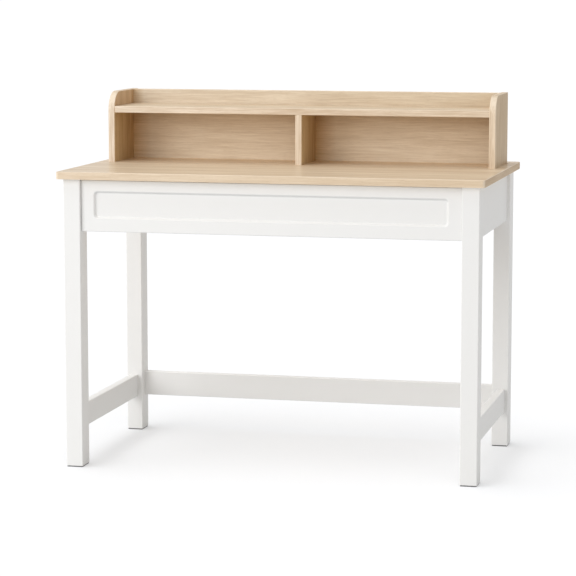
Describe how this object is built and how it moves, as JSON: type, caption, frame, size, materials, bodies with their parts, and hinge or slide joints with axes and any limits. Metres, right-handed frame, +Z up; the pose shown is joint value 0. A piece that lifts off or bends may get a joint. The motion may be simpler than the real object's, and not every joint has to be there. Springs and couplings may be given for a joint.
{
  "type": "student desk with hutch",
  "caption": "Student desk with a pale oak-veneer desktop on a white legged frame, a full-width drawer behind a routed white front, and a low divided hutch with a railed shelf",
  "frame": {"origin": "on the floor, under the centre of the desktop", "axes": "X runs along the desk to the sitter's right, Y from the front to the back, Z up"},
  "size_m": [1.08, 0.6, 0.934],
  "materials": {
    "oak_veneer": "pale oak veneer, satin clear lacquer",
    "white_lacquer": "white satin lacquer on wood",
    "drawer_birch": "plain birch board, matt",
    "bare_beech": "bare sanded beech",
    "zinc_steel": "zinc plated",
    "glide_plastic": "grey moulded plastic"
  },
  "bodies": {
    "desk": {"desktop": "oak_veneer", "leg_front_left": "white_lacquer", "leg_front_right": "white_lacquer", "leg_rear_left": "white_lacquer", "leg_rear_right": "white_lacquer", "side_apron_left": "white_lacquer", "side_apron_right": "white_lacquer", "back_apron": "white_lacquer", "front_top_rail": "white_lacquer", "side_stretcher_left": "white_lacquer", "side_stretcher_right": "white_lacquer", "rear_stretcher": "white_lacquer", "top_cleat_left": "bare_beech", "top_cleat_right": "bare_beech", "top_cleat_back": "bare_beech", "drawer_runner_left": "bare_beech", "drawer_runner_right": "bare_beech", "drawer_stop_block": "bare_beech", "hutch_side_left": "oak_veneer", "hutch_side_right": "oak_veneer", "hutch_shelf": "oak_veneer", "hutch_divider": "oak_veneer", "hutch_back_panel": "oak_veneer", "foot_glides": "glide_plastic", "side_frame_dowels": "bare_beech", "cross_dowels": "bare_beech", "frame_cam_bolts": "zinc_steel", "frame_cam_locks": "zinc_steel", "cleat_screws": "zinc_steel", "top_screws": "zinc_steel", "runner_screws": "zinc_steel", "stop_block_screws": "zinc_steel", "hutch_cam_bolts": "zinc_steel", "hutch_cam_locks": "zinc_steel", "hutch_dowels": "bare_beech", "hutch_fixing_screws": "zinc_steel", "hutch_back_screws": "zinc_steel"},
    "drawer": {"drawer_front": "white_lacquer", "drawer_side_left": "drawer_birch", "drawer_side_right": "drawer_birch", "drawer_back": "drawer_birch", "drawer_bottom": "drawer_birch", "drawer_bottom_bearer": "bare_beech", "drawer_dowels": "bare_beech", "drawer_back_screws": "zinc_steel", "drawer_bottom_pins": "zinc_steel"}
  },
  "joints": [
    {"name": "drawer_slide", "type": "slide", "parent": "desk", "child": "drawer", "axis": [0, -1, 0], "range_m": [0, 0.28]}
  ]
}
